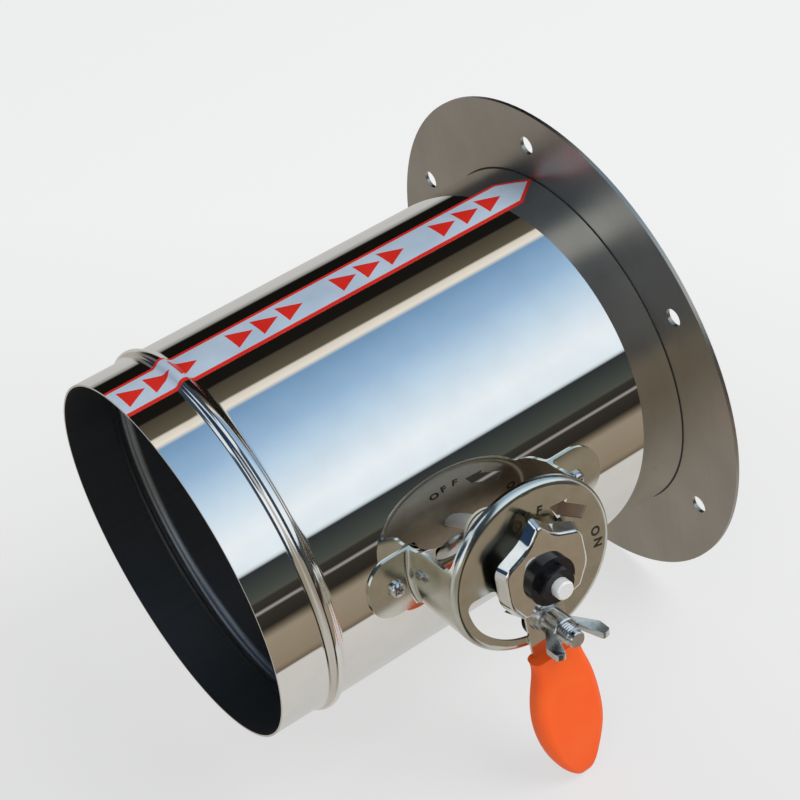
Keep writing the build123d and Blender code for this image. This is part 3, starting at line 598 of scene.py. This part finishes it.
def joint_shadow_line():
    """Thin dark fillet in the corner between the duct and the flange's face: a painted shadow of the open
    joint there.
    """
    shape = bmesh.new()
    foot, side = DUCT_R + JOINT_SHADOW_OFF_DUCT, JOINT_SHADOW_SIDE
    corner = [(foot, -side), (foot + 0.45 * side, -0.55 * side), (foot + side, 0.0), (foot, 0.0)]
    lathe(shape, corner + corner[:1], 240)
    bmesh.ops.recalc_face_normals(shape, faces=shape.faces)
    on_flange = Matrix.Translation((-FLANGE_T - JOINT_SHADOW_OFF_FLANGE, 0, 0))
    along_duct = on_flange @ Matrix.Rotation(math.pi / 2, 4, "Y")
    piece_from("joint_shadow_line", shape, along_duct, "housing", painted_joint_shadow())


def punched_letter(name, sign, angle, radius):
    """Dark shape in the dial that reads as a letter punched through it, its foot towards the shaft; it fills
    the letter with painted shade.
    """
    curve = bpy.data.curves.new(name + "_curve", "FONT")
    curve.body = sign
    curve.align_x = "CENTER"
    curve.align_y = "CENTER"
    curve.size = LETTER_HEIGHT * FONT_SIZE_OVER_HEIGHT
    curve.offset = LETTER_BOLD
    curve.extrude = (DIAL_FACE - DIAL_BACK) / 2 + LETTER_PROUD
    curve.resolution_u = 4
    words = bpy.data.objects.new(name + "_text", curve)
    bpy.context.collection.objects.link(words)
    flat = bpy.data.meshes.new_from_object(words.evaluated_get(bpy.context.evaluated_depsgraph_get()))
    bpy.data.objects.remove(words)
    shape = bmesh.new()
    shape.from_mesh(flat)
    bpy.data.meshes.remove(flat)
    bmesh.ops.remove_doubles(shape, verts=shape.verts, dist=0.001)
    turn = Matrix.Rotation(math.radians(angle - 90), 4, "Z")
    place = HANDLE @ turn @ Matrix.Translation((0, radius, (DIAL_FACE + DIAL_BACK) / 2))
    piece_from(name, shape, place, "housing", letter_wall_and_shade, 20.0)


rolled_duct()
joint_shadow_line()
threaded_bolt()
cast_wing_nut()
foot_heads = [HANDLE @ Matrix.Translation((side * FOOT_SCREW_REACH, 0, FOOT_SCREW_TOP)) for side in (-1, 1)]
crossed_screws("crossed_foot_screws", "foot_screws", "housing", foot_heads, FOOT_RECESS)
strap_heads = [BLADE @ Matrix.Translation((y, z, STRAP_SCREW_TOP)) for y, z in STRAP_SCREW_PLACES]
crossed_screws("crossed_strap_screws", "strap_screws", "damper", strap_heads, STRAP_RECESS)
# Each letter by its angle round the dial in degrees and its distance from the shaft
LETTERS = {
    "off_letter_1": ("O", 99.0, 28.5), "off_letter_2": ("F", 86.9, 29.7), "off_letter_3": ("F", 74.0, 30.8),
    "on_letter_1": ("O", -1.7, 36.9), "on_letter_2": ("N", -12.8, 38.2),
}
for letter_name, (sign, angle, radius) in LETTERS.items():
    punched_letter(letter_name, sign, angle, radius)


# Studio

def stage_piece(name, shape, material, mirrors_only=False):
    """Put a bmesh in metres into the scene as part of the studio; some of it only mirrors see."""
    mesh = bpy.data.meshes.new(name)
    shape.to_mesh(mesh)
    shape.free()
    mesh.materials.append(material)
    piece = bpy.data.objects.new(name, mesh)
    bpy.context.collection.objects.link(piece)
    if mirrors_only:
        piece.visible_camera = False
        piece.visible_diffuse = False
        piece.visible_shadow = False
        piece.visible_transmission = False
        piece.visible_volume_scatter = False
    return piece


def pale_floor():
    """Pale matt floor, partly self-lit: it stays near white, greyer in front, and still takes the shadow."""
    material, tree = finish_named("pale_floor")
    place = add(tree, "ShaderNodeTexCoord").outputs["Object"]
    depth = add(tree, "ShaderNodeVectorMath", {0: place, 1: (0.786, 0.618, 0.0)}, operation="DOT_PRODUCT")
    share = add(tree, "ShaderNodeMapRange", {
        "Value": depth.outputs["Value"], "From Min": -0.36, "From Max": 0.33})
    tones = [(0.0, "#E2E2E2"), (0.35, "#EBEBEB"), (1.0, "#F5F5F5")]
    shade = add(tree, "ShaderNodeValToRGB", {"Fac": share}, tones)
    matt = add(tree, "ShaderNodeBsdfDiffuse", {"Color": shade})
    glow = add(tree, "ShaderNodeEmission", {"Color": shade, "Strength": 1.0})
    path = add(tree, "ShaderNodeLightPath")
    camera_ray, glossy_ray = path.outputs["Is Camera Ray"], path.outputs["Is Glossy Ray"]
    through_ray = path.outputs["Is Transmission Ray"]
    seen = add(tree, "ShaderNodeMath", {0: camera_ray, 1: glossy_ray}, operation="MAXIMUM")
    shown = add(tree, "ShaderNodeMath", {0: seen, 1: through_ray}, operation="MAXIMUM")
    part = add(tree, "ShaderNodeMath", {0: shown, 1: 0.75}, operation="MULTIPLY")
    both = add(tree, "ShaderNodeMixShader", {"Fac": part, 1: matt, 2: glow})
    add(tree, "ShaderNodeOutputMaterial", {"Surface": both})
    shape = bmesh.new()
    bmesh.ops.create_grid(shape, x_segments=1, y_segments=1, size=FLOOR_HALF)
    bmesh.ops.translate(shape, verts=shape.verts, vec=(0, 0, FLOOR_Z * MM))
    floor = stage_piece("floor", shape, material)
    # Mirrors see the cards in its place
    floor.visible_glossy = False


# Cards round the duct, by the angle in degrees from the handle's side up over the top: the ones beyond
# the flange, beside the open end, just before it, well before it, and farthest out
FAR_CARDS = [
    (-180, "#BCBCBA"), (-100, "#C0BFBD"), (-52, "#CAC8C5"), (-51.5, "#5E5344"), (-47, "#8A7D6B"),
    (-26, "#958A79"), (-22, "#5B5145"), (-20, "#2A2723"), (-11, "#33312D"), (-10.5, "#A39D99"),
    (-9.5, "#9E9895"), (-9, "#2E2C2A"), (-3, "#35352F"), (-2.5, "#6C6C64"), (-1.5, "#474D48"),
    (13.6, "#2C3033"), (14.2, "#E0EDF6"), (30, "#EBF4FC"), (58, "#BDD6EC"), (75, "#97B8DA"),
    (97, "#7499BE"), (98, "#93A5B5"), (99, "#EAE4DA"), (104.5, "#D5D0C4"), (105.2, "#5A5547"),
    (117, "#453F36"), (118, "#171512"), (172, "#12110E"), (174, "#8E8E8B"), (180, "#BCBCBA"),
]
SIDE_CARDS = [
    (-180, "#A8A29A"), (-100, "#B4AEA6"), (-70, "#8A8277"), (-62, "#2B2824"), (-8, "#24221F"), (8, "#2B333D"),
    (60, "#3A4756"), (120, "#323E4C"), (170, "#6F6A64"), (180, "#A8A29A"),
]
NEAR_CARDS = [
    (-180, "#9C9994"), (-60, "#B5B2AC"), (-21, "#8F8778"), (3, "#978F80"), (7, "#2B333D"), (73, "#3A4756"),
    (77, "#E6EEF4"), (96, "#DCE6EF"), (100, "#364353"), (174, "#1B2636"), (178, "#8E8C88"), (180, "#9C9994"),
]
OUTER_CARDS = [
    (-180, "#9C9994"), (-60, "#B5B2AC"), (-21, "#8F8778"), (5, "#978F80"), (9, "#EEF3F7"), (58, "#F2F6FA"),
    (64, "#DCE6EF"), (135, "#C9D8E6"), (141, "#2A3950"), (174, "#1B2636"), (178, "#8E8C88"), (180, "#9C9994"),
]
END_CARDS = [
    (-180, "#9C9994"), (-60, "#B5B2AC"), (-21, "#8F8778"), (5, "#978F80"), (9, "#EEF3F7"), (50, "#F2F6FA"),
    (56, "#2B4059"), (141, "#1F3047"), (174, "#1B2636"), (178, "#8E8C88"), (180, "#9C9994"),
]
# Each ring of cards after the first takes over between two places along the duct, in metres
CARD_RINGS = [(SIDE_CARDS, -0.1, -0.3), (NEAR_CARDS, -0.72, -0.80), (OUTER_CARDS, -1.6, -1.75),
              (END_CARDS, -2.3, -2.6)]


def as_stops(cards):
    """Cards by their angle as the stops of a ramp that goes once round."""
    return [((at + 180) / 360, code) for at, code in cards]


def reflection_tent():
    """Cards round the duct that only its polished faces see."""
    material, tree = finish_named("reflection_cards")
    place = add(tree, "ShaderNodeTexCoord").outputs["Object"]
    parts = add(tree, "ShaderNodeSeparateXYZ", {"Vector": place})
    along = parts.outputs["X"]
    front = add(tree, "ShaderNodeMath", {0: parts.outputs["Y"], 1: -1.0}, operation="MULTIPLY")
    angle = add(tree, "ShaderNodeMath", {0: parts.outputs["Z"], 1: front}, operation="ARCTAN2")
    turn = add(tree, "ShaderNodeMapRange", {"Value": angle, "From Min": -math.pi, "From Max": math.pi})
    colour = add(tree, "ShaderNodeValToRGB", {"Fac": turn}, as_stops(FAR_CARDS))
    for cards, start, full in CARD_RINGS:
        ring = add(tree, "ShaderNodeValToRGB", {"Fac": turn}, as_stops(cards))
        share = add(tree, "ShaderNodeMapRange", {"Value": along, "From Min": start, "From Max": full})
        colour = add(tree, "ShaderNodeMix", {"Factor": share, "A": colour, "B": ring}, data_type="RGBA")
    glow = add(tree, "ShaderNodeEmission", {"Color": colour, "Strength": 1.08})
    add(tree, "ShaderNodeOutputMaterial", {"Surface": glow})
    shape = bmesh.new()
    along_duct = Matrix.Rotation(math.pi / 2, 4, "Y")
    bmesh.ops.create_cone(shape, cap_ends=False, segments=96, radius1=TENT_R, radius2=TENT_R,
                          depth=TENT_LENGTH, matrix=along_duct)
    stage_piece("reflection_tent", shape, material, mirrors_only=True)


def mirror_caps():
    """Caps in the bolt holes that only mirrors see: the duct then mirrors the flange as an even plate."""
    shape = bmesh.new()
    towards_open_end = Matrix.Rotation(-math.pi / 2, 4, "Y")
    for count in range(FLANGE_HOLES):
        turn = Matrix.Rotation(math.radians(360 / FLANGE_HOLES * count), 4, "X")
        place = turn @ Matrix.Translation((-FLANGE_T + CAP_DEPTH, 0, BOLT_CIRCLE_R)) @ towards_open_end
        bmesh.ops.create_circle(shape, cap_ends=True, segments=32, radius=FLANGE_HOLE_R,
                                matrix=Matrix.Scale(MM, 4) @ place)
    stage_piece("mirror_caps", shape, plate, mirrors_only=True)


def lamp(name, place, size, power):
    """Round soft box aimed at the duct's middle, which mirrors don't see."""
    data = bpy.data.lights.new(name, "AREA")
    data.shape = "DISK"
    data.size = size
    data.energy = power
    made = bpy.data.objects.new(name, data)
    made.location = place
    made.rotation_euler = (LAMP_AIM - Vector(place)).to_track_quat("-Z", "Y").to_euler()
    made.visible_glossy = False
    bpy.context.collection.objects.link(made)


def camera():
    """The photograph's viewing angle and framing."""
    data = bpy.data.cameras.new("camera")
    data.lens = 94.14
    data.sensor_width = 36.0
    made = bpy.data.objects.new("camera", data)
    back = CAMERA_RIGHT.cross(CAMERA_UP)
    turn = Matrix((CAMERA_RIGHT, CAMERA_UP, back)).transposed().to_4x4()
    made.matrix_world = Matrix.Translation(CAMERA_PLACE) @ turn
    bpy.context.collection.objects.link(made)
    bpy.context.scene.camera = made


world = bpy.data.worlds.new("studio")
bpy.context.scene.world = world
world.use_nodes = True
sky = world.node_tree.nodes["Background"]
sky.inputs["Color"].default_value = linear("#E9ECEF")
sky.inputs["Strength"].default_value = 0.6
pale_floor()
reflection_tent()
mirror_caps()
lamp("key", (0.7, -1.5, 1.9), size=1.4, power=36.0)
lamp("fill", (-1.6, -1.2, 1.2), size=1.4, power=7.0)
camera()
bpy.context.scene.view_settings.view_transform = "Standard"
